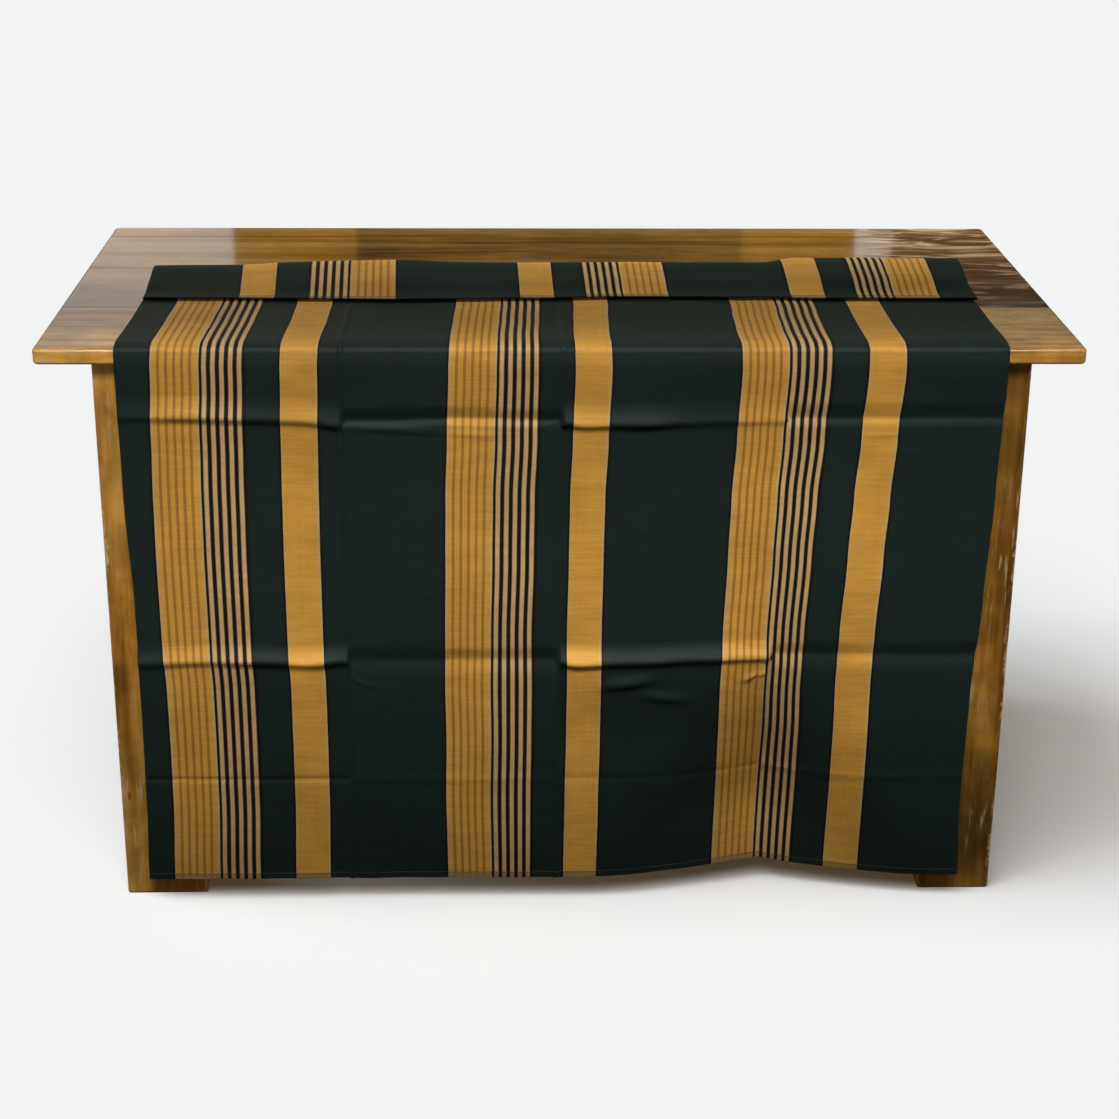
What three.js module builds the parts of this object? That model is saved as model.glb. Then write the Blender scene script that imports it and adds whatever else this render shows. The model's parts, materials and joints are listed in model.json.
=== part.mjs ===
// A tubular sarong laid over a plain wooden table: one striped cloth sewn into a tube, pressed flat,
// hanging in front of the table almost to the floor, lying on its top and folded forward on itself.
//
// Millimetres, +Z up. +X runs to the right along the table, +Y away from the hanging cloth.
// While the pieces are made, Y = 0 is the table's front edge and Z = 0 the floor; the finished group
// is then slid along Y so that the origin is the middle of the footprint.

import * as THREE from 'three';

// ---------------------------------------------------------------- driving dimensions

const table = { length: 1300, depth: 660, height: 765, topThickness: 20 };
const boardDepths = [200, 210, 190, 60]; // the glued boards of the top, from the front edge back
const topCorner = 8; // radius of the top's four corners, seen from above
const edgeRound = 4; // rounding of the edges of the first and last boards
const jointRound = 0.6; // rounding of the edges of the boards between them
const leg = { depth: 60, insetFront: 15, round: 3 };
const legSides = { left: { inset: 69, width: 107 }, right: { inset: 64, width: 97 } }; // hand-made
const apron = { height: 90, thickness: 22, insetFromLeg: 12, round: 1.5 };
const fitGap = 0.3; // between pieces that meet

const cloth = {
  width: 1100, // the tube laid flat; the cloth is twice this round
  length: 1225, // from hem to hem
  wall: 1, // one layer
  hollow: 0.5, // between the front layer and the rear layer
  hem: 9, // depth of the turned hems
  hemWall: 2, // one layer where it is turned over
  rest: 0.5, // between the table and the cloth on it
};
const foldedAt = 353; // how far back the soft fold on the table reaches
const bandEdge = 222; // how far back the folded-over hem lies

// Sideways pull on the two folded sides of the cloth, by the distance above the bottom hem.
const sidePull = [
  { above: 0, left: 2, right: -11 },
  { above: 110, left: 5, right: -15 },
  { above: 260, left: 6, right: -13 },
  { above: 400, left: 6, right: -6 },
  { above: 540, left: 1, right: -1 },
  { above: 735, left: 0, right: 3 },
  { above: 925, left: 3, right: 3 },
  { above: 1060, left: 4, right: 2 },
];

// The pressed creases of the folded packet. Those across the cloth stand out (+) in one quarter of the
// width and sink (-) in the next; each is short on its steep side and long on its gentle side.
const crossCreases = [
  { above: 148, first: -1.2, second: 0.9, third: -1.2, fourth: 0.9, steep: 12, gentle: 26 },
  { above: 319, first: 5, second: -2.6, third: 4.6, fourth: -2.2, steep: 12, gentle: 30 },
  { above: 641, first: 4.2, second: -2.8, third: 4.4, fourth: -2.6, steep: 12, gentle: 30 },
];
const quarters = ['first', 'second', 'third', 'fourth'];
const quarterCreases = [
  { from: 275, height: 1, halfWidth: 7 },
  { from: 550, height: 1, halfWidth: 7 },
  { from: 828, height: -1.5, halfWidth: 10 },
];

// The soft pleat that swings the lower right of the cloth back under the table.
const pleat = { from: 828, top: 330, depth: 48, halfWidthTop: 70, halfWidthHem: 235, power: 1.5 };

// How the soft fold on the table rises and the loose hem reaches forward, across the width.
const foldWave = [
  { from: 0, rise: 0, forward: 0 },
  { from: 120, rise: 0, forward: 0 },
  { from: 200, rise: 4, forward: 2 },
  { from: 330, rise: 6, forward: 6 },
  { from: 400, rise: 4, forward: 4 },
  { from: 500, rise: 3, forward: 0 },
  { from: 640, rise: 4, forward: -8 },
  { from: 840, rise: 4, forward: -4 },
  { from: 900, rise: 8, forward: 0 },
  { from: 1100, rise: 8, forward: 0 },
];

// ---------------------------------------------------------------- materials

const wood = new THREE.MeshStandardMaterial({ color: 0x9c722f, roughness: 0.3, metalness: 0 });
const darkCotton = new THREE.MeshStandardMaterial({ color: 0x1c2421, roughness: 0.85, metalness: 0 });
const hemCotton = new THREE.MeshStandardMaterial({ color: 0x151b19, roughness: 0.9, metalness: 0 });

// ---------------------------------------------------------------- small helpers

const part = new THREE.Group();

function addMesh(name, geometry, material) {
  const mesh = new THREE.Mesh(geometry, material);
  mesh.name = name;
  part.add(mesh);
  return mesh;
}

const smooth = (t) => THREE.MathUtils.smoothstep(t, 0, 1);

// The value of one column of a table at a place between its rows.
function readTable(rows, key, place, column) {
  const next = rows.findIndex((row) => row[key] >= place);
  if (next === 0) return rows[0][column];
  if (next < 0) return rows[rows.length - 1][column];
  const low = rows[next - 1];
  const high = rows[next];
  const t = (place - low[key]) / (high[key] - low[key]);
  return THREE.MathUtils.lerp(low[column], high[column], smooth(t));
}

// ---------------------------------------------------------------- the table

// An upright block of wood with eased edges. corners holds the plan radius of each corner,
// anticlockwise from the front left one.
function woodBlock(name, { x, y, z }, round, corners = [round, round, round, round]) {
  const [x0, x1] = x.map((value, end) => value + (end ? -round : round));
  const [y0, y1] = y.map((value, end) => value + (end ? -round : round));
  const turns = [
    { at: [x0, y0], start: Math.PI, radius: corners[0] - round },
    { at: [x1, y0], start: 1.5 * Math.PI, radius: corners[1] - round },
    { at: [x1, y1], start: 0, radius: corners[2] - round },
    { at: [x0, y1], start: 0.5 * Math.PI, radius: corners[3] - round },
  ];
  const outline = new THREE.Shape();
  turns.forEach(({ at, start, radius }, index) => {
    const towardsX = at[0] === x0 ? 1 : -1;
    const towardsY = at[1] === y0 ? 1 : -1;
    if (radius <= 0) {
      if (index === 0) outline.moveTo(...at);
      else outline.lineTo(...at);
      return;
    }
    outline.absarc(at[0] + towardsX * radius, at[1] + towardsY * radius, radius, start,
      start + 0.5 * Math.PI, false);
  });
  const geometry = new THREE.ExtrudeGeometry(outline, {
    depth: z[1] - z[0] - 2 * round,
    bevelSize: round,
    bevelThickness: round,
    bevelSegments: 3,
    curveSegments: 4,
  });
  geometry.translate(0, 0, z[0] + round);
  return addMesh(name, geometry, wood);
}

function buildTop() {
  const halfLength = table.length / 2;
  let front = 0;
  boardDepths.forEach((depth, index) => {
    const isFirst = index === 0;
    const isLast = index === boardDepths.length - 1;
    const back = front + depth;
    const gapFront = isFirst ? 0 : fitGap / 2;
    const gapBack = isLast ? 0 : fitGap / 2;
    const round = isFirst || isLast ? edgeRound : jointRound;
    const frontCorner = isFirst ? topCorner : round;
    const backCorner = isLast ? topCorner : round;
    woodBlock(`top_board_${index + 1}`, {
      x: [-halfLength, halfLength],
      y: [front + gapFront, back - gapBack],
      z: [table.height - table.topThickness, table.height],
    }, round, [frontCorner, frontCorner, backCorner, backCorner]);
    front = back;
  });
}

function buildLegsAndAprons() {
  const legTop = table.height - table.topThickness - fitGap;
  const { left, right } = legSides;
  const leftX = left.inset - table.length / 2;
  const rightX = table.length / 2 - right.inset;
  const frontY = leg.insetFront;
  const backY = table.depth - leg.insetFront;
  const sides = [
    { side: 'left', x: [leftX, leftX + left.width] },
    { side: 'right', x: [rightX - right.width, rightX] },
  ];
  const rows = [
    { row: 'front', y: [frontY, frontY + leg.depth] },
    { row: 'back', y: [backY - leg.depth, backY] },
  ];
  for (const { row, y } of rows) {
    for (const { side, x } of sides) {
      woodBlock(`leg_${row}_${side}`, { x, y, z: [0, legTop] }, leg.round);
    }
    const apronY = row === 'front' ? y[0] + apron.insetFromLeg : y[1] - apron.insetFromLeg - apron.thickness;
    woodBlock(`apron_${row}`, {
      x: [leftX + left.width + fitGap, rightX - right.width - fitGap],
      y: [apronY, apronY + apron.thickness],
      z: [legTop - apron.height, legTop],
    }, apron.round);
  }
  for (const { side, x } of sides) {
    const apronX = side === 'left' ? x[0] + apron.insetFromLeg : x[1] - apron.insetFromLeg - apron.thickness;
    woodBlock(`apron_${side}`, {
      x: [apronX, apronX + apron.thickness],
      y: [frontY + leg.depth + fitGap, backY - leg.depth - fitGap],
      z: [legTop - apron.height, legTop],
    }, apron.round);
  }
}

// ---------------------------------------------------------------- the path of the cloth

// The middle of the flattened tube, seen from the side, as a height and a distance back. along is
// measured on the cloth from the bottom hem. out is the unit vector towards the front layer's face.
const halfTube = cloth.hollow / 2 + cloth.wall;
const halfHem = cloth.hollow / 2 + cloth.hemWall;
const lift = cloth.rest + halfTube;
const bendRadius = edgeRound + lift;
const bendCentre = { y: edgeRound, z: table.height - edgeRound };
const bendLength = 0.5 * Math.PI * bendRadius;
const flatEnd = foldedAt - 33; // where the lying cloth starts to turn up into the soft fold

// The soft fold and the folded-over band, as distance back and height above the table.
const bandHeight = cloth.rest + 2 * halfTube + cloth.rest + halfHem;
const foldSide = new THREE.CatmullRomCurve3([
  [flatEnd - 30, lift], [flatEnd, lift], [foldedAt - 16, 3.2], [foldedAt - 5, 6.8],
  [foldedAt - halfTube, 12.6], [foldedAt - 5, 17.6], [foldedAt - 14, 20.2], [foldedAt - 30, 19.6],
  [foldedAt - 55, 15.2], [foldedAt - 85, 10], [bandEdge + 26, bandHeight + 0.7],
  [bandEdge, bandHeight],
].map(([y, height]) => new THREE.Vector3(0, y, table.height + height)));
const leadIn = 30 / foldSide.getLength(); // the curve's first stretch only sets its direction
const foldLength = foldSide.getLength() * (1 - leadIn);
const foldStart = cloth.length - foldLength;
const underBand = foldStart - (flatEnd - bandEdge); // where the lying cloth goes under the loose hem
const hangLength = foldStart - (flatEnd - bendCentre.y) - bendLength;
const hemHeight = bendCentre.z - hangLength; // from the floor, a little over 30

function sidePath(along) {
  if (along <= hangLength) {
    return { y: -lift, z: hemHeight + along, out: [-1, 0] };
  }
  if (along <= hangLength + bendLength) {
    const angle = (along - hangLength) / bendRadius;
    const out = [-Math.cos(angle), Math.sin(angle)];
    return { y: bendCentre.y + out[0] * bendRadius, z: bendCentre.z + out[1] * bendRadius, out };
  }
  if (along <= foldStart) {
    return { y: bendCentre.y + along - hangLength - bendLength, z: table.height + lift, out: [0, 1] };
  }
  const t = Math.min(1, leadIn + (1 - leadIn) * (along - foldStart) / foldLength);
  const point = foldSide.getPointAt(t);
  const tangent = foldSide.getTangentAt(t);
  return { y: point.y, z: point.z, out: [-tangent.z, tangent.y] };
}

// ---------------------------------------------------------------- creases, pleat and waves

// How far a cross crease stands out at a place across the cloth, changing over each quarter crease.
function crossDepth(crease, from) {
  return quarterCreases.reduce((depth, { from: at, halfWidth }, index) => {
    const passed = smooth((from - at + halfWidth) / (2 * halfWidth));
    return THREE.MathUtils.lerp(depth, crease[quarters[index + 1]], passed);
  }, crease.first);
}

function crossCrease(from, along) {
  return crossCreases.reduce((total, crease) => {
    const depth = crossDepth(crease, from);
    const off = (along - crease.above) * Math.sign(depth); // above a standing crease the slope is gentle
    const reach = off > 0 ? crease.gentle : crease.steep;
    return total + depth * Math.max(0, 1 - Math.abs(off) / reach);
  }, 0);
}

// A sunk quarter crease dies out at the table's edge, and a standing one in front of the loose hem.
function quarterCrease(from, along) {
  const free = smooth((hangLength - 30 - along) / 40);
  const lying = smooth((underBand - 12 - along) / 30);
  return quarterCreases.reduce((total, { from: at, height, halfWidth }) => {
    const share = Math.max(0, 1 - Math.abs(from - at) / halfWidth);
    return total + height * share * (height < 0 ? free : lying);
  }, 0);
}

// How far the pleat swings the cloth back, and how far that draws it up.
function pleatSwing(from, along) {
  if (along >= pleat.top) return 0;
  const low = 1 - along / pleat.top;
  const halfWidth = THREE.MathUtils.lerp(pleat.halfWidthTop, pleat.halfWidthHem, low);
  const share = Math.max(0, 1 - Math.abs(from - pleat.from) / halfWidth);
  return pleat.depth * smooth(Math.min(1, 1.25 * low)) * share ** pleat.power;
}

const pleatDrawUp = (swing) => swing ** 2 / (2 * pleat.top);

// A place in the middle of the flattened tube: from is measured from the left fold, along from the
// bottom hem, and offset is how far in front of the middle the point lies, along out.
function clothPoint(from, along, offset) {
  const { y, z, out } = sidePath(along);
  const hanging = smooth((hangLength - along) / 40);
  const swing = pleatSwing(from, along);
  const relief = hanging * crossCrease(from, along) + quarterCrease(from, along);
  const left = readTable(sidePull, 'above', along, 'left');
  const right = readTable(sidePull, 'above', along, 'right');
  const x = from - cloth.width / 2 + THREE.MathUtils.lerp(left, right, from / cloth.width);
  const folded = smooth((along - foldStart) / 25) * smooth((cloth.length - along) / 60);
  const rise = readTable(foldWave, 'from', from, 'rise') * folded;
  const loose = smooth((along - foldStart - 40) / 90);
  const forward = readTable(foldWave, 'from', from, 'forward') * loose;
  const away = relief + offset;
  return [
    x,
    y + out[0] * away + swing + rise - forward,
    z + out[1] * away + pleatDrawUp(swing) + rise,
  ];
}

// ---------------------------------------------------------------- the cloth's solids

// Places across one layer, closest together at the quarter creases.
function columnsAcross(half) {
  const marks = [half, ...quarterCreases.map(({ from }) => from), cloth.width - half];
  const perQuarter = 5;
  const columns = [];
  marks.slice(1).forEach((mark, index) => {
    const before = marks[index];
    for (let step = 0; step < perQuarter; step += 1) {
      columns.push(THREE.MathUtils.lerp(before, mark, step / perQuarter));
    }
  });
  columns.push(cloth.width - half);
  for (const { from, halfWidth } of quarterCreases) columns.push(from - halfWidth, from + halfWidth);
  return columns.sort((a, b) => a - b);
}

// One ring round the flattened tube: the front layer from left to right, the right fold, the rear
// layer back to the left, and the left fold. middle is half the thickness that the sides turn round.
function ringAt(along, middle, half) {
  const columns = columnsAcross(middle);
  const foldSteps = 3;
  const ring = columns.map((from) => clothPoint(from, along, half));
  const turn = (centre, start) => {
    for (let step = 1; step < foldSteps; step += 1) {
      const angle = start - Math.PI * step / foldSteps;
      const point = clothPoint(centre, along, half * Math.sin(angle));
      point[0] += half * Math.cos(angle);
      ring.push(point);
    }
  };
  turn(cloth.width - middle, 0.5 * Math.PI);
  ring.push(...columns.toReversed().map((from) => clothPoint(from, along, -half)));
  turn(middle, 1.5 * Math.PI);
  return ring;
}

// A closed tube wall swept through the stations: an outer skin, an inner skin and two ring ends.
function tubeWall(stations, wall) {
  const half = cloth.hollow / 2 + wall;
  const skins = [half, cloth.hollow / 2].map((skin) => stations.map((along) => ringAt(along, half, skin)));
  const around = skins[0][0].length;
  const skinSize = stations.length * around;
  const index = [];
  const at = (skin, station, place) => skin * skinSize + station * around + (place % around);
  const quad = (a, b, c, d) => index.push(a, b, c, a, c, d);
  for (let place = 0; place < around; place += 1) {
    for (let station = 0; station < stations.length - 1; station += 1) {
      quad(at(0, station, place), at(0, station, place + 1),
        at(0, station + 1, place + 1), at(0, station + 1, place));
      quad(at(1, station, place + 1), at(1, station, place),
        at(1, station + 1, place), at(1, station + 1, place + 1));
    }
    const last = stations.length - 1;
    quad(at(0, 0, place), at(1, 0, place), at(1, 0, place + 1), at(0, 0, place + 1));
    quad(at(1, last, place), at(0, last, place), at(0, last, place + 1), at(1, last, place + 1));
  }
  const geometry = new THREE.BufferGeometry();
  geometry.setAttribute('position', new THREE.Float32BufferAttribute(skins.flat(3), 3));
  geometry.setIndex(index);
  geometry.computeVertexNormals();
  return geometry;
}

// Even places between two ends, no further apart than the pitch; the far end is left out.
function evenPlaces(start, end, pitch) {
  const count = Math.ceil((end - start) / pitch);
  return Array.from({ length: count }, (_, step) => THREE.MathUtils.lerp(start, end, step / count));
}

function bodyStations() {
  const marks = [cloth.hem + fitGap];
  for (const { above, first, steep, gentle } of crossCreases) {
    const isFaint = Math.abs(first) < 2;
    const offsets = isFaint ? [-steep, 0, steep] : [-gentle, -steep, 0, steep, gentle];
    marks.push(...offsets.map((offset) => above + offset));
  }
  marks.push(hangLength);
  const places = marks.slice(1).flatMap((mark, index) => evenPlaces(marks[index], mark, 60));
  const bendEnd = hangLength + bendLength;
  places.push(
    ...evenPlaces(hangLength, bendEnd, bendLength / 4),
    ...evenPlaces(bendEnd, foldStart, 80),
    ...evenPlaces(foldStart, foldStart + 66, 6.6),
    ...evenPlaces(foldStart + 66, cloth.length - cloth.hem - fitGap, 26),
    cloth.length - cloth.hem - fitGap,
  );
  return places;
}

function buildCloth() {
  addMesh('sarong_body', tubeWall(bodyStations(), cloth.wall), darkCotton);
  addMesh('bottom_hem', tubeWall([0, cloth.hem / 2, cloth.hem], cloth.hemWall), hemCotton);
  const topStart = cloth.length - cloth.hem;
  addMesh('top_hem', tubeWall([topStart, topStart + cloth.hem / 2, cloth.length], cloth.hemWall), hemCotton);
}

// ---------------------------------------------------------------- the whole object

buildTop();
buildLegsAndAprons();
buildCloth();

const reach = new THREE.Box3().setFromObject(part, true);
part.position.y = -(reach.min.y + reach.max.y) / 2;

export default part;
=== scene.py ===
"""A striped tubular sarong, pressed flat, laid over a varnished wooden table and folded forward on it."""
import json
import math

import bmesh
import bpy
import numpy as np
from mathutils import Matrix, Vector, noise

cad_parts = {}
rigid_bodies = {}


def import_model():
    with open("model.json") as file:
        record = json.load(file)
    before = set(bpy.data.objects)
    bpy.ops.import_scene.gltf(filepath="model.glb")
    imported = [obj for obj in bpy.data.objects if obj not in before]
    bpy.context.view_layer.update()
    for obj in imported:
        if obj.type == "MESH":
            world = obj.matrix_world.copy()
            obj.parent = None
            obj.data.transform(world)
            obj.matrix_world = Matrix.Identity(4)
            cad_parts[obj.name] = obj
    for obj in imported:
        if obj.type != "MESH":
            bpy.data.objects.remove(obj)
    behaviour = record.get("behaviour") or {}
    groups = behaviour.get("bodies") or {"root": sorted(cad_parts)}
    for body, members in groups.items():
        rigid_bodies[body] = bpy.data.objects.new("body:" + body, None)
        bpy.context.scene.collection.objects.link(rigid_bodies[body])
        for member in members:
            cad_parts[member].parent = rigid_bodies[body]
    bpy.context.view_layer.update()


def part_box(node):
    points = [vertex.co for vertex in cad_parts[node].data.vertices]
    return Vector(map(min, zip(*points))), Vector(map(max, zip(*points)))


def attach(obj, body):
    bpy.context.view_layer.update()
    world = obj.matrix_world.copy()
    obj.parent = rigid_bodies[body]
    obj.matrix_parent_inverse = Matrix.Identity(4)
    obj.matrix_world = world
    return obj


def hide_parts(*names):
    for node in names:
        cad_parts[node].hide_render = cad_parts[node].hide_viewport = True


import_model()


def table(columns, *rows):
    """Rows of numbers as dicts, by the names of their columns."""
    return [dict(zip(columns.split(), row)) for row in rows]


# ---------------- places taken from the frame

MM = 0.001
FRONT_BOARD_LOW, FRONT_BOARD_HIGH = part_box("top_board_1")
TABLE_FRONT = FRONT_BOARD_LOW.y
TABLE_TOP = FRONT_BOARD_HIGH.z
BOARDS = ["top_board_1", "top_board_2", "top_board_3", "top_board_4"]
LEGS = ["leg_front_left", "leg_front_right", "leg_back_left", "leg_back_right"]
LONG_APRONS = ["apron_front", "apron_back"]
SIDE_APRONS = ["apron_left", "apron_right"]

# ---------------- the cloth, in millimetres
# across: from the tube's left fold, over the front layer to its right fold (WIDTH)
# along:  on the cloth, from the bottom hem (0) to the top hem (LENGTH)
# back and height: from the table's front edge and from its top

WIDTH = 1100.0
ROUND = 2 * WIDTH
LENGTH = 1225.0
HEM = 9.0
HALF_TUBE = 1.25      # half the flattened tube's thickness
HALF_HEM = 1.6        # the same at the turned hems
LAYER = 0.5           # one layer of the cloth
HEM_LAYER = 1.0       # one layer where it is turned over
REST = 0.5            # air between the table and the cloth
EDGE_ROUND = 4.0      # the radius of the table's edge
FOLDED_AT = 353.0     # how far back the soft fold reaches
FOLD_LEAD = 33.0      # how far before that the cloth starts to rise
BAND_EDGE = 222.0     # how far back the loose hem lies
BAND_HEIGHT = 5.75    # the middle of the tube there, above the table

# Each crease stands out (+) in one quarter of the width and sinks (-) in the next; upper and lower are
# how far its slopes reach above and below its line, and what it doesn't drop there fades out slowly.
CROSS_CREASES = [
    dict(above=148, wander=None, quarters=table(
        "height upper lower drop",
        (-1.2, 5.5, 7, 1.2), (0.7, 12, 12, 0.7), (-0.6, 8, 9, 0.6), (0.8, 12, 11, 0.8),
    )),
    dict(above=319, wander="lower", quarters=table(
        "height upper lower drop",
        (8.4, 25, 10, 4.4), (-3.6, 18, 26, 3.6), (11.0, 26, 9, 4.6), (-3.4, 18, 22, 3.4),
    )),
    dict(above=644, wander="upper", quarters=table(
        "height upper lower drop",
        (6.2, 30, 9, 4.0), (-3.9, 17, 10, 3.9), (7.0, 30, 8, 4.2), (-3.6, 20, 12, 3.6),
    )),
]
CREASE_FADE = 120.0   # how far below a ridge its slow fall ends
CREASE_WANDER = table(  # how far up the two strong creases stray across the width, and how strong they are
    "across upper lower upper_size lower_size",
    (0, 5, -3, 0.5, 0.7), (90, 5, 1, 1.0, 0.9), (170, 2, 0, 0.9, 1.0), (225, 0, -3, 1.0, 1.05),
    (272, -4, 1, 0.9, 1.0), (282, -1, 1, 1.0, 0.7), (435, 1, 0, 1.0, 1.0), (545, -2, 0, 1.0, 1.0),
    (575, -6, -4, 1.15, 1.1), (640, -5, -2, 1.1, 1.0), (760, -2, 3, 0.5, 0.9),
    (822, -1, 5, 0.4, 0.8), (840, 2, 6, 1.0, 1.0), (1100, 2, 5, 0.8, 0.9),
)
QUARTER_CREASES = table(
    "across height half_width",
    (275, 2.2, 4.5), (550, 2.0, 5.5), (828, -1.2, 9),
)
# The pleat's middle, its top, how far back it swings, and half its width at its top and at the hem; the
# tuck down it, and how far its two slopes reach.
PLEAT = dict(across=828, top=330, depth=48, half_top=70, half_hem=235, power=1.5)
TUCK = dict(across=829, top=628, height=3.4, gentle=17, steep=4)
SIDE_PULL = table(  # how far the two folded sides are pulled to the right
    "along left right",
    (0, 2, -11), (110, 5, -15), (260, 6, -13), (400, 6, -6), (540, 1, -1), (735, 0, 3), (925, 3, 3),
    (1060, 4, 2),
)
FOLD_WAVE = table(  # how far the soft fold rises and reaches back, and how far its loose hem comes forward
    "across rise forward",
    (0, 0, 0), (120, 0, 0), (200, 4, 2), (330, 6, 6), (400, 4, 4), (500, 3, 0), (640, 4, -8), (830, 4, -4),
    (880, 9, 0), (1100, 8, 0),
)
# Small rucks left by the hands: the middle, half the length, the slope, the height, and how far the
# slopes reach above and below the line.
WRINKLES = table(
    "across along half slope height upper lower",
    (264, 636, 19, -0.25, 1.6, 6, 4), (343, 630, 66, -0.06, 1.7, 9, 4),
    (444, 624, 40, -0.03, 1.4, 8, 3.5), (541, 640, 20, 0.08, 1.6, 6, 4),
    (73, 675, 34, 0.0, -0.7, 4, 4), (226, 675, 30, 0.0, -0.7, 4, 4),
    (951, 623, 34, 0.05, 1.0, 6, 3), (292, 286, 16, -0.6, 1.8, 4, 3),
    (642, 286, 40, 0.17, 4.2, 13, 8), (690, 265, 36, -0.16, 3.2, 11, 8),
    (730, 381, 18, 0.0, -0.8, 4, 4), (803, 293, 15, 0.7, 2.6, 5, 3),
    (821, 300, 10, 0.5, 1.6, 4, 3), (913, 61, 9, 0.0, 1.0, 4, 3),
    (600, 560, 60, 0.02, 0.7, 22, 16), (980, 600, 80, -0.04, 0.9, 24, 18),
    (380, 235, 70, 0.05, 0.8, 24, 20),
)

RIDGE_SLOPES, VALLEY_SLOPES = (2.0, 1.3), (1.25, 1.8)   # how hollow they are above and below a crease
STAND_OFF = dict(height=3.0, near=12, far=75)   # how far the cloth stands off beside the table's edge
PUFF_HEIGHT, PUFF_SHARE = 0.35, 0.3             # small puffs where the cloth lies on the table
UNEVENNESS = {  # strength, scale across, scale along (None where it doesn't change that way) and seed
    "crease strength": (0.2, 45, None, 7.3),
    "crease stray": (1.0, 90, None, 0.0),
    "crease wobble": (0.9, 24, None, 3.1),
    "quarter strength": (0.5, None, 45, 3.1),
    "quarter stray": (2.2, None, 130, 0.0),
    "tuck stray": (1.5, None, 110, 9.4),
    "broad waves": (1.7, 150, 330, 1.7),
    "small waves": (0.7, 48, 90, 5.2),
    "puffs": (1.0, 60, 60, 3.3),
    "fold lumps": (1.0, 70, 40, 8.8),
    "hem wave": (0.8, 40, None, 6.1),
}

# ---------------- the woven pattern, in millimetres

REPEAT = ROUND / 6
FIRST_STRIPE = 43.7   # from the left fold to the first wide stripe
WIDE_STRIPE = 59.0
WIDE_LINES = 5        # fine brown lines that divide the wide stripe
THIN_START, THIN_PITCH, THIN_GAP, THIN_STRIPES = 63.6, 10.95, 5.2, 5
PLAIN_STRIPE = (159.5, 205.0)   # its two edges, from the wide stripe's left one
STRIPE_EDGE = 2.3     # the paler warps at a gold stripe's edges
STRIPE_BORDER = 3.0   # the black warps outside them
# How far each stripe lies to the right of its place in the weave: w for a wide one, t for the thin ones,
# m for a plain one, numbered from the left, and w3e for the third wide one's right edge.
LEANS = table(
    "along w1 m1 w2 t2 m2 w3 w3e t3 m3",
    (0, -6.8, -5.2, -9.1, -12.5, -16.4, -18.9, -21.2, -27.0, -29.0),
    (119, -3.2, -2.6, -11.4, -12, -14.9, -17.9, -19.7, -25.0, -28.8),
    (206, -2.8, -2.5, -10, -11, -13.4, -18.4, -19.6, -26.3, -28.5),
    (279, -2.8, -2.4, -11.1, -10.3, -13.1, -19.2, -21.6, -28.5, -28.7),
    (349, -5.6, -4.9, -9.7, -11.3, -13.3, -17.5, -21.5, -26.5, -27.0),
    (459, -6.3, -5.2, -7.8, -8.4, -12.4, -14.3, -17.6, -21.3, -21.8),
    (539, -5.6, -4.6, -6.8, -7.5, -11.6, -12.3, -15.0, -17.7, -18.0),
    (619, -3.5, -3.6, -3.8, -4.5, -8.6, -8.4, -10.8, -12.0, -13.4),
    (708, 0, -1.9, -0.9, -3.0, -5.2, -4.6, -7.0, -8.0, -8.2),
    (742, 1.8, -0.4, 0.5, -3.0, -6.4, -5.6, -7.4, -8.0, -8.8),
    (777, 2.6, 0.2, 1.0, -3.0, -7.0, -6.2, -7.6, -8.0, -9.0),
    (869, 4.2, 2.6, 3.1, -0.5, -4.9, -3.8, -5.5, -6.5, -9.0),
    (937, 6.4, 3.4, 5.5, 1.0, -2.3, -0.5, -2.4, -4.0, -9.0),
)
LEAN_PLACES = dict(w1=73, m1=225, w2=439, t2=521, m2=587, w3=772, w3e=830, t3=882, m3=950)
BAND_LEANS = table(  # the same for the rear layer where it shows, at the fold and at the loose hem
    "across fold hem",
    (0, 5, 9), (143, 8.2, 14), (295, 7.9, 12.4), (508, 13.5, 17), (660, 3.5, 6.8), (874, 7.5, 9.8),
    (1027, -2, 0), (1100, 0, 0),
)

# ---------------- colours, linear

DARK_GROUND = (0.0046, 0.0130, 0.0112)
BORDER_BLACK = (0.0042, 0.0016, 0.0006)
GOLD = (0.50, 0.256, 0.041)
GOLD_LINE = (0.20, 0.088, 0.016)
BEIGE = (0.47, 0.305, 0.135)
PALE_EDGE = (0.44, 0.29, 0.125)
# painted shade for the gold on the turned hems
HEM_SHADE_GOLD = (0.20, 0.125, 0.062)
AMBER = (0.47, 0.235, 0.045)
BROWN = (0.17, 0.070, 0.016)
HONEY = (0.62, 0.38, 0.11)
BARE_WOOD = (0.42, 0.30, 0.17)
# The next two are dark for specks, joints and a painted dark reflection, and pale for scratches and painted
# reflection streaks.
GRIME_AND_DARK_REFLECTION = (0.045, 0.022, 0.009)
SCRATCH_AND_REFLECTION_PALE = (0.36, 0.26, 0.15)
THREAD = (0.022, 0.012, 0.006)
FLOOR_WHITE = (0.8, 0.8, 0.8)
FLOOR_GLOW = (0.8, 0.6, 0.34)


# ---------------- small helpers

def smooth(t):
    """0 below 0, 1 above 1, and an even S between."""
    t = np.clip(t, 0.0, 1.0)
    return t * t * (3.0 - 2.0 * t)


def since(place, start, over):
    """0 up to start, and rising evenly to 1 over the stretch after it."""
    return smooth((place - start) / over)


def until(place, end, over):
    """Falling evenly from 1 to 0 over the stretch before end, and 0 past it."""
    return smooth((end - place) / over)


def read_table(rows, key, place, column):
    """One column of a table, read smoothly at places between its rows."""
    keys = np.array([row[key] for row in rows], float)
    values = np.array([row[column] for row in rows], float)
    place = np.asarray(place, float)
    low = np.clip(np.searchsorted(keys, place) - 1, 0, len(keys) - 2)
    t = (place - keys[low]) / (keys[low + 1] - keys[low])
    return values[low] + (values[low + 1] - values[low]) * smooth(t)


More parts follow.
